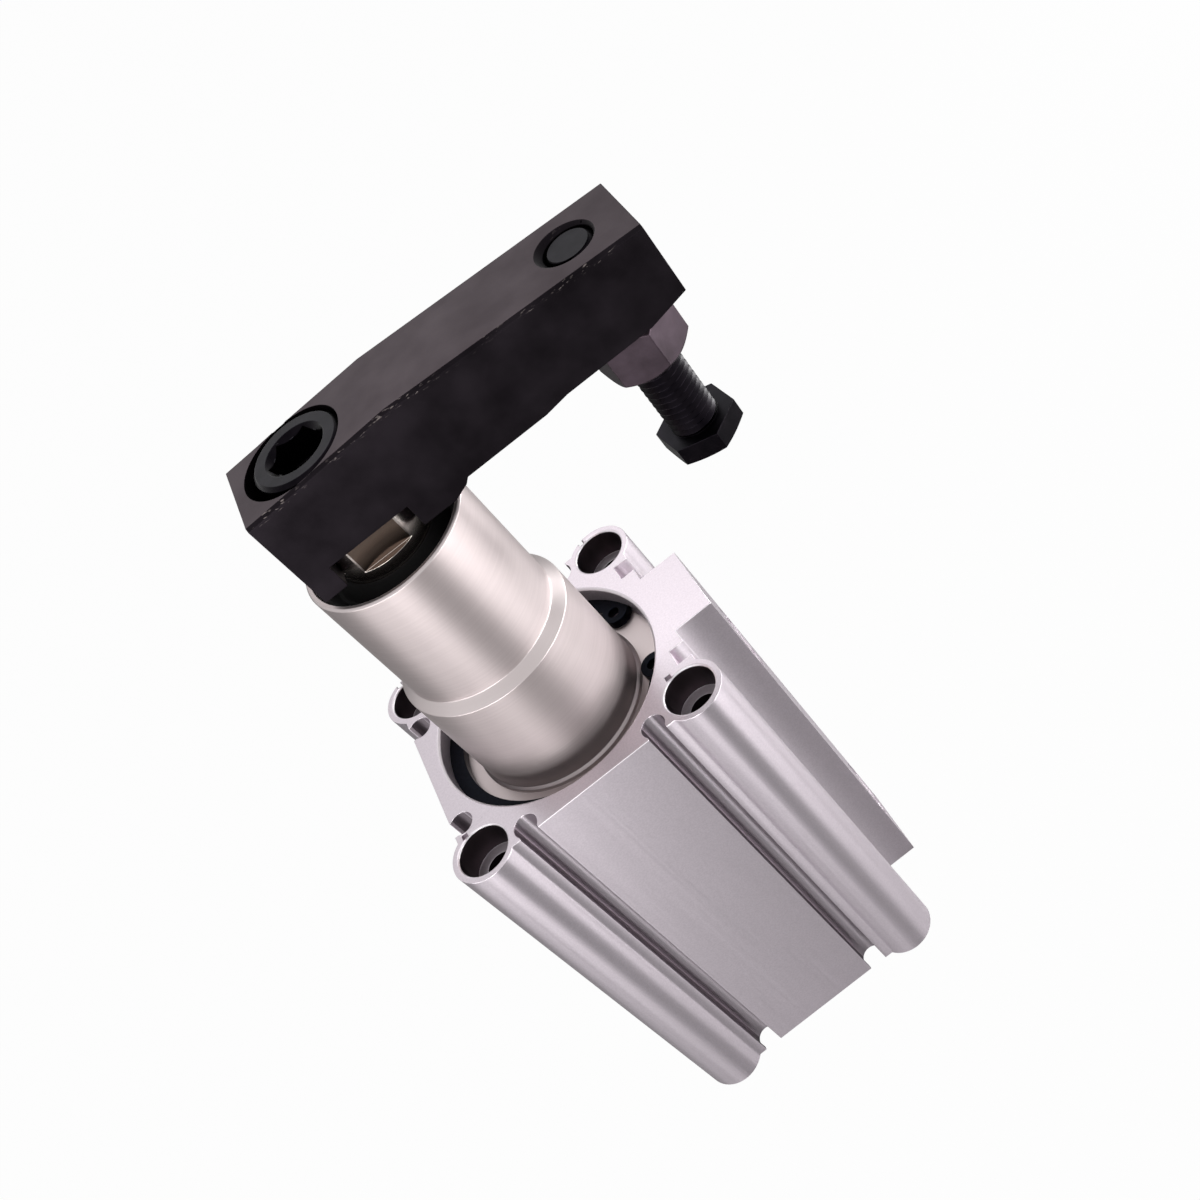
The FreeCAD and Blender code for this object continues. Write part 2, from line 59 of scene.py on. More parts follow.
# Extruded body: an aluminium profile, clear anodised, then cut to length, bored and drilled.
# It is the CAD solid with the rims of its level faces broken by a fine bevel. The walls of the
# corner holes and the inside of the sensor grooves are painted darker, as painted shade.
MM = 0.001
WELD = 0.002 * MM
FLAT_WITHIN = math.radians(0.2)
SHARP_ABOVE = math.radians(25)
SMOOTH_BELOW = math.radians(32)
LEVEL_WITHIN = 0.001 * MM


def colour(text):
    """An sRGB hex value as a linear RGBA colour."""
    parts = [int(text[i:i + 2], 16) / 255 for i in (1, 3, 5)]
    return [c / 12.92 if c <= 0.04045 else ((c + 0.055) / 1.055) ** 2.4 for c in parts] + [1.0]


def new_material(name):
    """A new material and its empty node tree."""
    material = bpy.data.materials.new(name)
    material.use_nodes = True
    material.node_tree.nodes.clear()
    return material, material.node_tree


def add(tree, kind, links=None, inputs=None, **settings):
    """Adds one node, sets its settings and input values, and links its inputs."""
    node = tree.nodes.new(kind)
    for name, value in settings.items():
        setattr(node, name, value)
    for name, value in (inputs or {}).items():
        node.inputs[name].default_value = value
    for name, source in (links or {}).items():
        tree.links.new(source, node.inputs[name])
    return node


def set_ramp(node, stops):
    """Sets a ramp's colour stops, given as (place, hex)."""
    elements = node.color_ramp.elements
    while len(elements) > 1:
        elements.remove(elements[-1])
    elements[0].position = stops[0][0]
    elements[0].color = colour(stops[0][1])
    for place, text in stops[1:]:
        elements.new(place).color = colour(text)


def mark_level_rims(mesh):
    """Gives a bevel weight to the sharp edges that lie level: the rims of level faces."""
    normals = {}
    for face in mesh.polygons:
        for key in face.edge_keys:
            normals.setdefault(key, []).append(face.normal)
    weight = mesh.attributes.new("bevel_weight_edge", "FLOAT", "EDGE")
    for edge in mesh.edges:
        start, end = (mesh.vertices[i].co.z for i in edge.vertices)
        meeting = normals.get(edge.key, [])
        if len(meeting) == 2 and abs(start - end) < LEVEL_WITHIN:
            if meeting[0].dot(meeting[1]) < math.cos(SHARP_ABOVE):
                weight.data[edge.index].value = 1.0


def break_edges(piece, width, rims_only):
    """Bevels the sharp edges, or only the level rims, and shades the piece by angle."""
    bevel = piece.modifiers.new("broken_edges", "BEVEL")
    bevel.width = width
    bevel.segments = 2
    bevel.limit_method = "ANGLE"
    bevel.angle_limit = SHARP_ABOVE
    bevel.use_clamp_overlap = False
    if rims_only:
        mark_level_rims(piece.data)
        bevel.limit_method = "WEIGHT"
    bpy.ops.object.modifier_apply(modifier="broken_edges")
    bpy.ops.object.shade_smooth_by_angle(angle=SMOOTH_BELOW)
    weighted = piece.modifiers.new("flat_faces", "WEIGHTED_NORMAL")
    weighted.keep_sharp = True
    bpy.ops.object.modifier_apply(modifier="flat_faces")


def machined_copy(node, name, edge, rims_only=False):
    """A merged copy of a CAD node with its edges broken by a bevel of that width."""
    piece = bpy.data.objects.new(name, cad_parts[node].data.copy())
    bpy.context.scene.collection.objects.link(piece)
    bpy.ops.object.select_all(action="DESELECT")
    piece.select_set(True)
    bpy.context.view_layer.objects.active = piece
    bpy.ops.object.mode_set(mode="EDIT")
    bpy.ops.mesh.select_all(action="SELECT")
    bpy.ops.mesh.remove_doubles(threshold=WELD)
    bpy.ops.mesh.dissolve_limited(angle_limit=FLAT_WITHIN)
    bpy.ops.object.mode_set(mode="OBJECT")
    break_edges(piece, edge, rims_only)
    piece.data.materials.clear()
    return piece


def finish(piece, body, material, node):
    """Gives a finished piece its material, its moving body and the node it replaces."""
    piece.data.materials.append(material)
    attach(piece, body)
    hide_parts(node)


CHAMFER_SLOPE = 0.6
SLOPE_SPREAD = 0.33
HIGHLIGHT_SHARE = 0.8


def painted_highlight_on_slopes(tree, normal, shade, highlight_colour):
    """Painted highlight: a lighter colour on the faces that slope upward, such as chamfers and steps."""
    slope = add(
        tree,
        "ShaderNodeMath",
        {0: normal.outputs["Z"]},
        {1: CHAMFER_SLOPE, 2: SLOPE_SPREAD},
        operation="COMPARE",
    )
    share = add(tree, "ShaderNodeMath", {0: slope.outputs[0]}, {1: HIGHLIGHT_SHARE}, operation="MULTIPLY")
    links = {"Factor": share.outputs[0], 6: shade}
    return add(tree, "ShaderNodeMix", links, {7: colour(highlight_colour)}, data_type="RGBA")


# Clear anodised aluminium, extruded: a satin grey with a touch of violet. The die's fine lines
# run up it and stretch its reflections. Lines and grain are really under 0.1 mm wide and are
# drawn coarser, so that they show.
DIE_LINE_WIDTH = 0.526 * MM
DIE_LINE_LENGTH = 43.8 * MM
ANODISED_GRAIN = 0.385 * MM
UPRIGHT_BELOW = 0.5
CORNER_HOLE_AT = 25.0 * MM
CORNER_HOLE_R = 5.55 * MM
GROOVE_AT = 15.4 * MM
GROOVE_OUT = 27.2 * MM
GROOVE_R = 2.8 * MM
BOSS_SIDE_FROM = 20.0 * MM
ACROSS = (1.0, 1.0, 0.0)
anodised, tree = new_material("clear_anodised_extrusion")
where = add(tree, "ShaderNodeTexCoord")
along = {"Scale": (1.0, 1.0, DIE_LINE_WIDTH / DIE_LINE_LENGTH)}
die_lines = add(tree, "ShaderNodeMapping", {"Vector": where.outputs["Object"]}, along)
fine = {"Scale": 1.0 / DIE_LINE_WIDTH, "Detail": 2.0}
lines = add(tree, "ShaderNodeTexNoise", {"Vector": die_lines.outputs[0]}, fine)
fine = {"Scale": 1.0 / ANODISED_GRAIN, "Detail": 2.0}
grain = add(tree, "ShaderNodeTexNoise", {"Vector": where.outputs["Object"]}, fine)
shade = add(tree, "ShaderNodeValToRGB", {"Fac": grain.outputs["Fac"]})
set_ramp(shade, [(0.3, "#c7bec5"), (0.7, "#d2c9d0")])
facing = add(tree, "ShaderNodeNewGeometry")
normal = add(tree, "ShaderNodeSeparateXYZ", {"Vector": facing.outputs["Normal"]})
upright = add(tree, "ShaderNodeMath", {0: normal.outputs["Z"]}, {1: UPRIGHT_BELOW}, operation="LESS_THAN")
axis = add(tree, "ShaderNodeSeparateXYZ", {"Vector": where.outputs["Object"]})
off_boss = add(tree, "ShaderNodeMath", {0: axis.outputs["X"]}, {1: BOSS_SIDE_FROM}, operation="LESS_THAN")
links = {0: off_boss.outputs[0], 1: upright.outputs[0]}
off_boss = add(tree, "ShaderNodeMath", links, operation="MULTIPLY")
corner = add(tree, "ShaderNodeVectorMath", {0: where.outputs["Object"]}, operation="ABSOLUTE")
links = {0: corner.outputs[0]}
corner = add(tree, "ShaderNodeVectorMath", links, {1: ACROSS}, operation="MULTIPLY")
shade_out = shade.outputs[0]
# Painted shade: the walls of the corner holes and the insides of the sensor grooves get darker colours.
for x, y, radius, part, tone in (
    (CORNER_HOLE_AT, CORNER_HOLE_AT, CORNER_HOLE_R, upright, "#4a4044"),
    (GROOVE_AT, GROOVE_OUT, GROOVE_R, off_boss, "#7c7379"),
    (GROOVE_OUT, GROOVE_AT, GROOVE_R, off_boss, "#7c7379"),
):
    off = add(tree, "ShaderNodeVectorMath", {0: corner.outputs[0]}, {1: (x, y, 0.0)}, operation="DISTANCE")
    inside = add(tree, "ShaderNodeMath", {0: off.outputs["Value"]}, {1: radius}, operation="LESS_THAN")
    links = {0: inside.outputs[0], 1: part.outputs[0]}
    painted_shade_wall = add(tree, "ShaderNodeMath", links, operation="MULTIPLY")
    links = {"Factor": painted_shade_wall.outputs[0], 6: shade_out}
    shade_out = add(tree, "ShaderNodeMix", links, {7: colour(tone)}, data_type="RGBA").outputs[2]
rough = add(tree, "ShaderNodeMapRange", {"Value": lines.outputs["Fac"]}, {"To Min": 0.34, "To Max": 0.40})
links = {0: lines.outputs["Fac"], 1: grain.outputs["Fac"]}
mixed = add(tree, "ShaderNodeMath", links, operation="ADD")
relief = {"Strength": 0.10, "Distance": 0.02 * MM}
bump = add(tree, "ShaderNodeBump", {"Height": mixed.outputs[0]}, relief)
# Painted highlight: the faces that slope upward, the chamfers, get a lighter colour.
shade = painted_highlight_on_slopes(tree, normal, shade_out, "#f4eff3")
# The grain runs up the piece. Its slight lean gives the end faces a direction too.
GRAIN_LEAN = 0.2
grain_way = add(tree, "ShaderNodeCombineXYZ", inputs={"Y": GRAIN_LEAN, "Z": 1.0})
shader = add(
    tree,
    "ShaderNodeBsdfPrincipled",
    {
        "Base Color": shade.outputs[2],
        "Roughness": rough.outputs[0],
        "Normal": bump.outputs[0],
        "Tangent": grain_way.outputs[0],
    },
    {"Metallic": 0.94, "Anisotropic": 0.75},
)
add(tree, "ShaderNodeOutputMaterial", {"Surface": shader.outputs[0]})

body = machined_copy("cylinder_body", "extruded_body", edge=0.14 * MM, rims_only=True)
finish(body, "cylinder", anodised, "cylinder_body")


# Front cover: turned aluminium with the long stepped nose that guides the rod, held in the
# bore by a circlip. The rear cover that closes the bore's other end is turned the same way.

# Clear anodised aluminium, turned: a warm satin grey with rings round its axis. They are drawn
# wider than the real feed of 0.1 mm, so that they show.
TURNED_RING = 0.385 * MM
RING_STRETCH = 0.02
turned, tree = new_material("turned_anodised_aluminium")
where = add(tree, "ShaderNodeTexCoord")
around = {"Scale": (RING_STRETCH, RING_STRETCH, 1.0)}
rings = add(tree, "ShaderNodeMapping", {"Vector": where.outputs["Object"]}, around)
fine = {"Scale": 1.0 / TURNED_RING, "Detail": 2.0}
lines = add(tree, "ShaderNodeTexNoise", {"Vector": rings.outputs[0]}, fine)
shade = add(tree, "ShaderNodeValToRGB", {"Fac": lines.outputs["Fac"]})
set_ramp(shade, [(0.35, "#b8adad"), (0.65, "#bdb2b2")])
relief = {"Strength": 0.05, "Distance": 0.01 * MM}
bump = add(tree, "ShaderNodeBump", {"Height": lines.outputs["Fac"]}, relief)
facing = add(tree, "ShaderNodeNewGeometry")
normal = add(tree, "ShaderNodeSeparateXYZ", {"Vector": facing.outputs["Normal"]})
# Painted highlight: the nose's sloping step and its chamfers get a lighter colour.
shade = painted_highlight_on_slopes(tree, normal, shade.outputs[0], "#c2b9b9")
grain_way = add(tree, "ShaderNodeCombineXYZ", inputs={"Y": GRAIN_LEAN, "Z": 1.0})
shader = add(
    tree,
    "ShaderNodeBsdfPrincipled",
    {"Base Color": shade.outputs[2], "Normal": bump.outputs[0], "Tangent": grain_way.outputs[0]},
    {"Metallic": 0.85, "Roughness": 0.42, "Anisotropic": 0.4},
)
add(tree, "ShaderNodeOutputMaterial", {"Surface": shader.outputs[0]})

nose = machined_copy("front_cover", "nose_cover", edge=0.12 * MM)
finish(nose, "cylinder", turned, "front_cover")
rear_cover = machined_copy("end_cover", "rear_cover", edge=0.2 * MM)
finish(rear_cover, "cylinder", turned, "end_cover")


# Circlips: blanked from spring steel strip, which rounds their edges a little, and sprung into
# grooves in the bore above the front cover and below the rear cover.

# Phosphated spring steel: a soft blue black whose fine crystals dull the shine of the metal.
PHOSPHATE_CRYSTAL = 0.667 * MM
phosphate, tree = new_material("phosphated_spring_steel")
where = add(tree, "ShaderNodeTexCoord")
fine = {"Scale": 1.0 / PHOSPHATE_CRYSTAL, "Detail": 3.0}
grain = add(tree, "ShaderNodeTexNoise", {"Vector": where.outputs["Object"]}, fine)
shade = add(tree, "ShaderNodeValToRGB", {"Fac": grain.outputs["Fac"]})
set_ramp(shade, [(0.3, "#08090d"), (0.75, "#10121a")])
relief = {"Strength": 0.15, "Distance": 0.02 * MM}
bump = add(tree, "ShaderNodeBump", {"Height": grain.outputs["Fac"]}, relief)
shader = add(
    tree,
    "ShaderNodeBsdfPrincipled",
    {"Base Color": shade.outputs[0], "Normal": bump.outputs[0]},
    {"Metallic": 1.0, "Roughness": 0.38},
)
add(tree, "ShaderNodeOutputMaterial", {"Surface": shader.outputs[0]})
for node in ("front_circlip", "rear_circlip"):
    clip = machined_copy(node, node + "_ring", edge=0.18 * MM)
    finish(clip, "cylinder", phosphate, node)


# Rubber parts: the wiper, pressed into the nose's mouth, and inside the cylinder the O-rings,
# the bumpers and the lip seals, which keep their CAD solids.

# Moulded nitrile rubber: a dull, slightly uneven black, as the mould's blasted wall leaves it.
MOULD_GRAIN = 1.11 * MM
rubber, tree = new_material("moulded_nitrile_rubber")
where = add(tree, "ShaderNodeTexCoord")
fine = {"Scale": 1.0 / MOULD_GRAIN, "Detail": 4.0}
grain = add(tree, "ShaderNodeTexNoise", {"Vector": where.outputs["Object"]}, fine)
shade = add(tree, "ShaderNodeValToRGB", {"Fac": grain.outputs["Fac"]})
set_ramp(shade, [(0.3, "#0b0a0b"), (0.8, "#171516")])
relief = {"Strength": 0.1, "Distance": 0.02 * MM}
bump = add(tree, "ShaderNodeBump", {"Height": grain.outputs["Fac"]}, relief)
shader = add(
    tree,
    "ShaderNodeBsdfPrincipled",
    {"Base Color": shade.outputs[0], "Normal": bump.outputs[0]},
    {"Metallic": 0.0, "Roughness": 0.75, "IOR": 1.3},
)
add(tree, "ShaderNodeOutputMaterial", {"Surface": shader.outputs[0]})
wiper = machined_copy("rod_wiper", "nose_wiper", edge=0.12 * MM)
finish(wiper, "cylinder", rubber, "rod_wiper")
for node in (
    "front_cover_o_ring",
    "end_cover_o_ring",
    "front_bumper",
    "rear_bumper",
    "rod_seal",
    "piston_seal",
):
    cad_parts[node].data.materials.clear()
    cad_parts[node].data.materials.append(rubber)


# Piston rod: carbon steel, ground and hard chromed. The four flats at its top, which sit in the
# clamp arm's cross slot, are milled through the chrome.

# Hard chromed steel: a smooth, slightly warm mirror with faint grinding rings, drawn wider than
# they are. The milled flats show the darker, brownish bare steel.
GRINDING_RING = 0.333 * MM
GRINDING_STRETCH = 0.05
CHROME_FROM = 9.85 * MM
chrome, tree = new_material("hard_chromed_steel")
where = add(tree, "ShaderNodeTexCoord")
around = {"Scale": (GRINDING_STRETCH, GRINDING_STRETCH, 1.0)}
rings = add(tree, "ShaderNodeMapping", {"Vector": where.outputs["Object"]}, around)
fine = {"Scale": 1.0 / GRINDING_RING, "Detail": 2.0}
lines = add(tree, "ShaderNodeTexNoise", {"Vector": rings.outputs[0]}, fine)
shade = add(tree, "ShaderNodeValToRGB", {"Fac": lines.outputs["Fac"]})
set_ramp(shade, [(0.3, "#cfc4be"), (0.7, "#d9d0ca")])
links = {0: where.outputs["Object"]}
across = add(tree, "ShaderNodeVectorMath", links, {1: ACROSS}, operation="MULTIPLY")
radius = add(tree, "ShaderNodeVectorMath", {0: across.outputs[0]}, operation="LENGTH")
inside = add(tree, "ShaderNodeMath", {0: radius.outputs["Value"]}, {1: CHROME_FROM}, operation="LESS_THAN")
facing = add(tree, "ShaderNodeNewGeometry")
normal = add(tree, "ShaderNodeSeparateXYZ", {"Vector": facing.outputs["Normal"]})
upright = add(tree, "ShaderNodeMath", {0: normal.outputs["Z"]}, {1: UPRIGHT_BELOW}, operation="LESS_THAN")
links = {0: inside.outputs[0], 1: upright.outputs[0]}
milled = add(tree, "ShaderNodeMath", links, operation="MULTIPLY")
links = {"Factor": milled.outputs[0], 6: shade.outputs[0]}
shade = add(tree, "ShaderNodeMix", links, {7: colour("#6f6057")}, data_type="RGBA")
shader = add(
    tree,
    "ShaderNodeBsdfPrincipled",
    {"Base Color": shade.outputs[2]},
    {"Metallic": 1.0, "Roughness": 0.2},
)
add(tree, "ShaderNodeOutputMaterial", {"Surface": shader.outputs[0]})
rod = machined_copy("piston_rod", "chromed_rod", edge=0.12 * MM)
finish(rod, "rod_and_arm", chrome, "piston_rod")


# Clamp arm: milled from a steel bar and chemically blackened.
# The top rises to a low crown and falls to the tip, and its long edges have a flat chamfer.

# Black oxide on milled steel: a matt, faintly cloudy black, with painted light: dark grey on faces
# turned up, blacker on the sides. Just below the chamfer, handling has worn fine specks of bare metal.
CLOUD = 8.33 * MM
MILLED_GRIT = 0.588 * MM
REAR_HEIGHT = 181.85 * MM
REAR_SLOPE = 0.0557
TIP_HEIGHT = 183.62 * MM
TIP_SLOPE = -0.048
WORN_FROM = 0.8 * MM
WORN_TO = 1.3 * MM
SPECK_LENGTH = 1.43 * MM
SPECK_HEIGHT = 0.2778 * MM
SPECK_TILT = math.radians(4)
SPECK_PATCH = 11.1 * MM
TOP_FROM = 0.90
TOP_FULL = 0.97
blacked, tree = new_material("black_oxide_on_milled_steel")
where = add(tree, "ShaderNodeTexCoord")
axis = add(tree, "ShaderNodeSeparateXYZ", {"Vector": where.outputs["Object"]})
facing = add(tree, "ShaderNodeNewGeometry")
normal = add(tree, "ShaderNodeSeparateXYZ", {"Vector": facing.outputs["Normal"]})
coarse = {"Scale": 1.0 / CLOUD, "Detail": 5.0}
cloud = add(tree, "ShaderNodeTexNoise", {"Vector": where.outputs["Object"]}, coarse)
fine = {"Scale": 1.0 / MILLED_GRIT, "Detail": 3.0}
grit = add(tree, "ShaderNodeTexNoise", {"Vector": where.outputs["Object"]}, fine)
# Painted light and shade: sides and chamfers get a darker colour, faces turned up a lighter one.
painted_shaded_side = add(tree, "ShaderNodeValToRGB", {"Fac": cloud.outputs["Fac"]})
set_ramp(painted_shaded_side, [(0.3, "#151215"), (0.7, "#221e22")])
painted_lit_top = add(tree, "ShaderNodeValToRGB", {"Fac": cloud.outputs["Fac"]})
set_ramp(painted_lit_top, [(0.3, "#3d3539"), (0.7, "#4b4347")])
span = {"From Min": TOP_FROM, "From Max": TOP_FULL}
upward = add(tree, "ShaderNodeMapRange", {"Value": normal.outputs["Z"]}, span)
links = {"Factor": upward.outputs[0], 6: painted_shaded_side.outputs[0], 7: painted_lit_top.outputs[0]}
base = add(tree, "ShaderNodeMix", links, data_type="RGBA")
links = {0: axis.outputs["X"]}
rising = add(tree, "ShaderNodeMath", links, {1: REAR_SLOPE, 2: REAR_HEIGHT}, operation="MULTIPLY_ADD")
falling = add(tree, "ShaderNodeMath", links, {1: TIP_SLOPE, 2: TIP_HEIGHT}, operation="MULTIPLY_ADD")
links = {0: rising.outputs[0], 1: falling.outputs[0]}
crown = add(tree, "ShaderNodeMath", links, operation="MINIMUM")
links = {0: crown.outputs[0], 1: axis.outputs["Z"]}
below = add(tree, "ShaderNodeMath", links, operation="SUBTRACT")
span = {"From Min": WORN_FROM, "From Max": WORN_TO, "To Min": 1.0, "To Max": 0.0}
near_edge = add(tree, "ShaderNodeMapRange", {"Value": below.outputs[0]}, span)
off_top = add(tree, "ShaderNodeMath", {1: upward.outputs[0]}, {0: 1.0}, operation="SUBTRACT")
way = {
    "Scale": (1.0 / SPECK_LENGTH, 1.0 / SPECK_LENGTH, 1.0 / SPECK_HEIGHT),
    "Rotation": (0.0, SPECK_TILT, 0.0),
}
speck_way = add(tree, "ShaderNodeMapping", {"Vector": where.outputs["Object"]}, way)
worn = add(tree, "ShaderNodeTexNoise", {"Vector": speck_way.outputs[0]}, {"Scale": 1.0, "Detail": 2.0})
worn = add(tree, "ShaderNodeMapRange", {"Value": worn.outputs["Fac"]}, {"From Min": 0.60, "From Max": 0.72})
coarse = {"Scale": 1.0 / SPECK_PATCH, "Detail": 1.0}
patch = add(tree, "ShaderNodeTexNoise", {"Vector": where.outputs["Object"]}, coarse)
patch = add(tree, "ShaderNodeMapRange", {"Value": patch.outputs["Fac"]}, {"From Min": 0.48, "From Max": 0.62})
for part in (patch, near_edge, off_top):
    worn = add(tree, "ShaderNodeMath", {0: worn.outputs[0], 1: part.outputs[0]}, operation="MULTIPLY")
links = {"Factor": worn.outputs[0], 6: base.outputs[2]}
bare = add(tree, "ShaderNodeMix", links, {7: colour("#8f8583")}, data_type="RGBA")
relief = {"Strength": 0.15, "Distance": 0.03 * MM}
bump = add(tree, "ShaderNodeBump", {"Height": grit.outputs["Fac"]}, relief)
shader = add(
    tree,
    "ShaderNodeBsdfPrincipled",
    {"Base Color": bare.outputs[2], "Normal": bump.outputs[0]},
    {"Metallic": 1.0, "Roughness": 0.5},
)
add(tree, "ShaderNodeOutputMaterial", {"Surface": shader.outputs[0]})
arm = machined_copy("clamp_arm", "milled_clamp_arm", edge=0.12 * MM)
finish(arm, "rod_and_arm", blacked, "clamp_arm")


# Cap screw: forged steel with a machined head and socket, which clamps the arm on the rod.
# The clamp bolt below has the same finish.

# Black oxide on forged steel, a little oily: a deep black with a soft shine. The top faces are
# painted greyer than the sides, as painted light.
OILY_CLOUD = 3.33 * MM
oiled, tree = new_material("black_oxide_fastener")
where = add(tree, "ShaderNodeTexCoord")
facing = add(tree, "ShaderNodeNewGeometry")
normal = add(tree, "ShaderNodeSeparateXYZ", {"Vector": facing.outputs["Normal"]})
coarse = {"Scale": 1.0 / OILY_CLOUD, "Detail": 4.0}
cloud = add(tree, "ShaderNodeTexNoise", {"Vector": where.outputs["Object"]}, coarse)
# Painted light and shade: the sides get a darker colour, faces turned up a lighter one.
painted_shaded_side = add(tree, "ShaderNodeValToRGB", {"Fac": cloud.outputs["Fac"]})
set_ramp(painted_shaded_side, [(0.3, "#0c0a0e"), (0.75, "#171418")])
painted_lit_top = add(tree, "ShaderNodeValToRGB", {"Fac": cloud.outputs["Fac"]})
set_ramp(painted_lit_top, [(0.3, "#18171b"), (0.7, "#232126")])
span = {"From Min": TOP_FROM, "From Max": TOP_FULL}
upward = add(tree, "ShaderNodeMapRange", {"Value": normal.outputs["Z"]}, span)
links = {"Factor": upward.outputs[0], 6: painted_shaded_side.outputs[0], 7: painted_lit_top.outputs[0]}
base = add(tree, "ShaderNodeMix", links, data_type="RGBA")
relief = {"Strength": 0.1, "Distance": 0.05 * MM}
bump = add(tree, "ShaderNodeBump", {"Height": cloud.outputs["Fac"]}, relief)
shader = add(
    tree,
    "ShaderNodeBsdfPrincipled",
    {"Base Color": base.outputs[2], "Normal": bump.outputs[0]},
    {"Metallic": 1.0, "Roughness": 0.36},
)
add(tree, "ShaderNodeOutputMaterial", {"Surface": shader.outputs[0]})
screw = machined_copy("arm_cap_screw", "socket_cap_screw", edge=0.12 * MM)
finish(screw, "rod_and_arm", oiled, "arm_cap_screw")


# Clamp bolt: a hexagon bolt with an M10 thread rolled right up to its head, black oxide.
# The head is the CAD solid cut off just above it. The shank is one thread profile swept up a
# helix, closed at both ends and trimmed to a chamfered end.
PITCH = 1.5 * MM
CREST_R = 4.97 * MM
ROOT_R = 4.08 * MM
LEAD_IN_TURNS = 3
TURNS = 36
STEPS_PER_TURN = 40
THREAD_WELD = 0.001 * MM
BOLT_AXIS = 57.6 * MM
HEAD_TOP = 135.2 * MM
HEAD_SPARE = 0.3 * MM
SHANK_SINK = 0.8 * MM
SHANK_END = 180.2 * MM
END_SPARE = 0.4 * MM
END_CHAMFER = 0.95 * MM
BLANK_PLAY = 0.02 * MM
BLANK_SIDES = 80


def trim(above, height):
    """Cuts the edited mesh at a height, drops what is above or below it and closes the cut."""
    bpy.ops.mesh.select_all(action="SELECT")
    bpy.ops.mesh.bisect(
        plane_co=(0, 0, height),
        plane_no=(0, 0, 1),
        use_fill=True,
        clear_outer=above,
        clear_inner=not above,
    )


# The profile goes from root to crest and back, in steps of a sixteenth of the pitch upward.
bpy.ops.object.select_all(action="DESELECT")
bpy.ops.mesh.primitive_plane_add(size=MM, location=(BOLT_AXIS, 0, HEAD_TOP - LEAD_IN_TURNS * PITCH))
bolt = bpy.context.active_object
bpy.ops.object.mode_set(mode="EDIT")
bpy.ops.mesh.select_mode(type="VERT")
bpy.ops.mesh.select_all(action="SELECT")
bpy.ops.mesh.merge(type="CENTER")
bpy.ops.transform.translate(value=(ROOT_R, 0, 0))
for out, sixteenths in ((0, 4), (1, 5), (0, 2), (-1, 5)):
    step = (out * (CREST_R - ROOT_R), 0, sixteenths * PITCH / 16)
    bpy.ops.mesh.extrude_vertices_move(TRANSFORM_OT_translate={"value": step})
bpy.ops.object.mode_set(mode="OBJECT")
sweep = bolt.modifiers.new("helix", "SCREW")
sweep.screw_offset = PITCH
sweep.iterations = TURNS
sweep.steps = STEPS_PER_TURN
sweep.render_steps = STEPS_PER_TURN
sweep.use_merge_vertices = True
sweep.merge_threshold = THREAD_WELD
bpy.ops.object.modifier_apply(modifier="helix")
bpy.ops.object.mode_set(mode="EDIT")
bpy.ops.mesh.select_all(action="SELECT")
bpy.ops.mesh.remove_doubles(threshold=THREAD_WELD)
trim(above=False, height=HEAD_TOP - SHANK_SINK)
trim(above=True, height=SHANK_END + END_SPARE)
bpy.ops.mesh.select_all(action="SELECT")
bpy.ops.mesh.normals_make_consistent(inside=False)
bpy.ops.object.mode_set(mode="OBJECT")

# A chamfered blank of the shank's length gives the thread its end.
blank_height = SHANK_END - HEAD_TOP + END_SPARE
bpy.ops.mesh.primitive_cylinder_add(
    vertices=BLANK_SIDES,
    radius=CREST_R + BLANK_PLAY,
    depth=blank_height,
    location=(BOLT_AXIS, 0, SHANK_END - blank_height / 2),
)
blank = bpy.context.active_object
bpy.ops.object.mode_set(mode="EDIT")
bpy.ops.mesh.select_mode(type="FACE")
bpy.ops.mesh.select_all(action="DESELECT")
bpy.ops.object.mode_set(mode="OBJECT")
for face in blank.data.polygons:
    face.select = face.normal.z > 0.9
bpy.ops.object.mode_set(mode="EDIT")
bpy.ops.mesh.bevel(offset=END_CHAMFER, segments=1)
bpy.ops.object.mode_set(mode="OBJECT")
cut = bolt.modifiers.new("end_chamfer", "BOOLEAN")
cut.operation = "INTERSECT"
cut.solver = "EXACT"
cut.object = blank
bpy.ops.object.select_all(action="DESELECT")
bolt.select_set(True)
bpy.context.view_layer.objects.active = bolt
bpy.ops.object.modifier_apply(modifier="end_chamfer")
bpy.data.objects.remove(blank)

bolt_head = machined_copy("clamp_bolt", "threaded_clamp_bolt", edge=0.12 * MM)
bpy.ops.object.mode_set(mode="EDIT")
trim(above=True, height=HEAD_TOP + HEAD_SPARE)
bpy.ops.object.mode_set(mode="OBJECT")
bolt.select_set(True)
bpy.ops.object.join()
bpy.ops.object.shade_smooth_by_angle(angle=SMOOTH_BELOW)
finish(bolt_head, "clamp_bolt", oiled, "clamp_bolt")


# Jam nut: turned from hexagon bar, chamfered on both faces and tightened against the arm's
# underside.

# Thin black oxide on turned steel: a satin brown grey that lets the metal through.
NUT_CLOUD = 3.85 * MM
browned, tree = new_material("thin_black_oxide_nut")
where = add(tree, "ShaderNodeTexCoord")
coarse = {"Scale": 1.0 / NUT_CLOUD, "Detail": 4.0}
cloud = add(tree, "ShaderNodeTexNoise", {"Vector": where.outputs["Object"]}, coarse)
shade = add(tree, "ShaderNodeValToRGB", {"Fac": cloud.outputs["Fac"]})
set_ramp(shade, [(0.3, "#362e33"), (0.75, "#463c43")])
shader = add(
    tree,
    "ShaderNodeBsdfPrincipled",
    {"Base Color": shade.outputs[0]},
    {"Metallic": 1.0, "Roughness": 0.42},
)
add(tree, "ShaderNodeOutputMaterial", {"Surface": shader.outputs[0]})
nut = machined_copy("jam_nut", "lock_nut", edge=0.15 * MM)
finish(nut, "rod_and_arm", browned, "jam_nut")


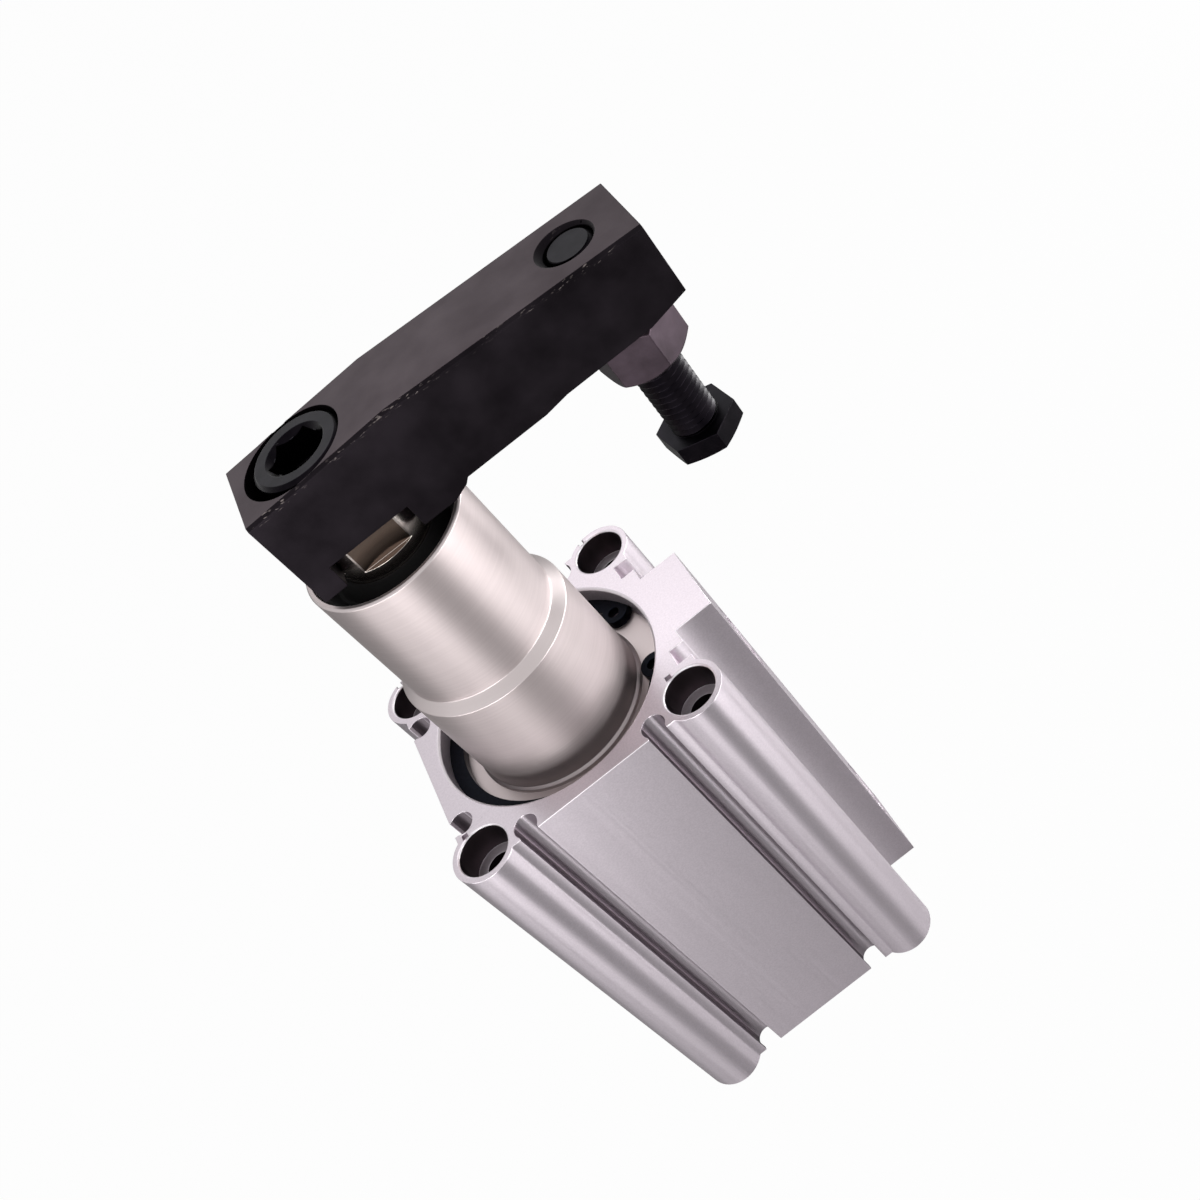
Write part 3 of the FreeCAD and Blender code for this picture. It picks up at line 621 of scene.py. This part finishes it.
# Inside the cylinder, out of sight in the assembled part: the CAD solids carry the finishes
# of the real pieces, each with its own grain. Bronze bush and hardened pin guide the rod, the
# aluminium piston holds a bonded magnet and a plastic wear ring under a zinc plated nut.

# To the eye these are matt porous bronze, bright ground steel, satin turned aluminium, dull
# dark ferrite, matt brown plastic and bright bluish zinc.
for node, name, dark, light, metallic, roughness, grain_size in (
    ("rod_bush", "sintered_bronze", "#83643a", "#9d7b49", 1.0, 0.45, 0.4 * MM),
    ("guide_pin", "hardened_ground_steel", "#8c8b8d", "#a09fa1", 1.0, 0.22, 0.33 * MM),
    ("piston", "turned_bare_aluminium", "#aeabac", "#bdbabb", 1.0, 0.38, 0.38 * MM),
    ("piston_magnet", "bonded_ferrite", "#292728", "#363435", 0.0, 0.55, 0.55 * MM),
    ("piston_wear_ring", "filled_ptfe", "#3b2e22", "#4a3b2d", 0.0, 0.5, 1.1 * MM),
    ("piston_nut", "zinc_plated_steel", "#9d9ea0", "#b0b1b3", 1.0, 0.3, 0.83 * MM),
):
    material, tree = new_material(name)
    where = add(tree, "ShaderNodeTexCoord")
    fine = {"Scale": 1.0 / grain_size, "Detail": 3.0}
    grain = add(tree, "ShaderNodeTexNoise", {"Vector": where.outputs["Object"]}, fine)
    shade = add(tree, "ShaderNodeValToRGB", {"Fac": grain.outputs["Fac"]})
    set_ramp(shade, [(0.3, dark), (0.7, light)])
    relief = {"Strength": 0.1, "Distance": 0.02 * MM}
    bump = add(tree, "ShaderNodeBump", {"Height": grain.outputs["Fac"]}, relief)
    shader = add(
        tree,
        "ShaderNodeBsdfPrincipled",
        {"Base Color": shade.outputs[0], "Normal": bump.outputs[0]},
        {"Metallic": metallic, "Roughness": roughness},
    )
    add(tree, "ShaderNodeOutputMaterial", {"Surface": shader.outputs[0]})
    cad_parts[node].data.materials.clear()
    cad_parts[node].data.materials.append(material)


# Floor and light: a plain floor in a white surround, and five soft boxes as on a product table:
# two stronger low ones on the right, two weaker low ones on the left, a faint one above. The
# space between them under the camera leaves the dark stripes in the round metal.
FLOOR_SIZE = 6.0
FLOOR_DROP = 0.3 * MM
SOFT_BOX_HEIGHT = 150 * MM
AIM_HEIGHT = 90 * MM
WHITE = (1.0, 1.0, 1.0, 1.0)


def background_share(tree, direct, mirrored):
    """How much of the white background a camera ray and a glossy or transmission ray see."""
    path = add(tree, "ShaderNodeLightPath")
    share = add(tree, "ShaderNodeMath", {0: path.outputs["Is Camera Ray"]}, {1: direct}, operation="MULTIPLY")
    for kind in ("Is Glossy Ray", "Is Transmission Ray"):
        part = add(tree, "ShaderNodeMath", {0: path.outputs[kind]}, {1: mirrored}, operation="MULTIPLY")
        links = {0: share.outputs[0], 1: part.outputs[0]}
        share = add(tree, "ShaderNodeMath", links, operation="MAXIMUM")
    return share.outputs[0]


# Plain matt floor: the camera sees it as the white background, and its own grey is what the
# metal mostly mirrors.
floor_material, tree = new_material("studio_floor")
matt = add(tree, "ShaderNodeBsdfDiffuse", inputs={"Color": colour("#7c7c7c")})
glow = add(tree, "ShaderNodeEmission", inputs={"Color": WHITE, "Strength": 1.0})
share = background_share(tree, direct=0.98, mirrored=0.15)
both = add(tree, "ShaderNodeMixShader", {0: share, 1: matt.outputs[0], 2: glow.outputs[0]})
add(tree, "ShaderNodeOutputMaterial", {"Surface": both.outputs[0]})
bpy.ops.mesh.primitive_plane_add(size=FLOOR_SIZE, location=(0, 0, -FLOOR_DROP))
floor = bpy.context.active_object
floor.name = "studio_floor"
floor.data.materials.append(floor_material)

world = bpy.data.worlds.new("white_surround")
bpy.context.scene.world = world
world.use_nodes = True
tree = world.node_tree
tree.nodes.clear()
dim = add(tree, "ShaderNodeBackground", inputs={"Color": WHITE, "Strength": 0.04})
white = add(tree, "ShaderNodeBackground", inputs={"Color": WHITE, "Strength": 1.0})
share = background_share(tree, direct=1.0, mirrored=1.0)
both = add(tree, "ShaderNodeMixShader", {0: share, 1: dim.outputs[0], 2: white.outputs[0]})
add(tree, "ShaderNodeOutputWorld", {"Surface": both.outputs[0]})


def soft_box(name, azimuth, elevation, distance, width, power):
    """A soft box that faces the part, from angles in degrees, in metres and watts."""
    data = bpy.data.lights.new(name, "AREA")
    data.shape = "RECTANGLE"
    data.size = width
    data.size_y = SOFT_BOX_HEIGHT
    data.energy = power
    lamp = bpy.data.objects.new(name, data)
    bpy.context.scene.collection.objects.link(lamp)
    turn, lift = math.radians(azimuth), math.radians(elevation)
    way = Vector((math.cos(lift) * math.cos(turn), math.cos(lift) * math.sin(turn), math.sin(lift)))
    lamp.location = Vector((0, 0, AIM_HEIGHT)) + way * distance
    lamp.rotation_euler = way.to_track_quat("Z", "Y").to_euler()


soft_box("soft_box_right_front", azimuth=-31, elevation=-2, distance=0.4, width=0.32, power=1.6)
soft_box("soft_box_right_back", azimuth=18, elevation=-2, distance=0.4, width=0.34, power=1.7)
soft_box("soft_box_left_front", azimuth=-114, elevation=-2, distance=0.4, width=0.22, power=0.95)
soft_box("soft_box_left_back", azimuth=-150, elevation=-2, distance=0.4, width=0.25, power=0.7)
soft_box("soft_box_top", azimuth=90, elevation=65, distance=0.5, width=0.15, power=0.35)
